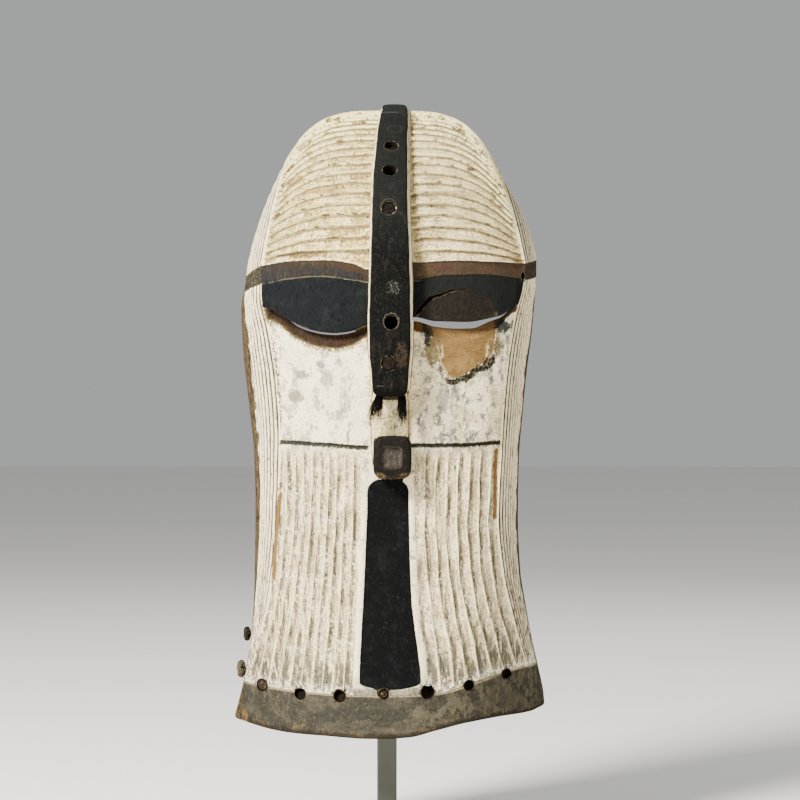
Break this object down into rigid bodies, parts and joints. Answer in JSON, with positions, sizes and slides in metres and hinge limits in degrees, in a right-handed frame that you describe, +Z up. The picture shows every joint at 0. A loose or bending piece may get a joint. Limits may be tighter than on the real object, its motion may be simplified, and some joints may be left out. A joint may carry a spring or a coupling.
{
  "type": "carved face mask on stand",
  "caption": "Tall carved wooden face mask with a dark crest, heavy lids, block mouth and white fluted skin, upright on a steel display post and foot.",
  "frame": {"origin": "centre of the underside of the stand's foot", "axes": "+Z up, the mask looks along -Y, the mask's own left side as the viewer sees it is -X"},
  "size_m": [0.2955, 0.215, 0.6969],
  "materials": {
    "painted_carved_wood": "worn white and black earth paint on carved wood",
    "wooden_peg": "dark dry wood",
    "hair": "stiff dark hair",
    "plant_fibre": "dry twisted fibre",
    "painted_steel": "satin olive grey paint",
    "felt_pad": "dense felt"
  },
  "bodies": {
    "root": {"mask": "painted_carved_wood", "crest_peg_upper": "wooden_peg", "crest_peg_lower": "wooden_peg", "rim_peg_left": "wooden_peg", "rim_peg_middle": "wooden_peg", "nostril_tuft_left": "hair", "nostril_tuft_right": "hair", "cord_knot_upper": "plant_fibre", "cord_knot_lower": "plant_fibre", "stand_post": "painted_steel", "stand_saddle": "painted_steel", "stand_spacer": "painted_steel", "stand_foot": "painted_steel", "saddle_pad": "felt_pad", "spacer_pad": "felt_pad"}
  },
  "joints": []
}
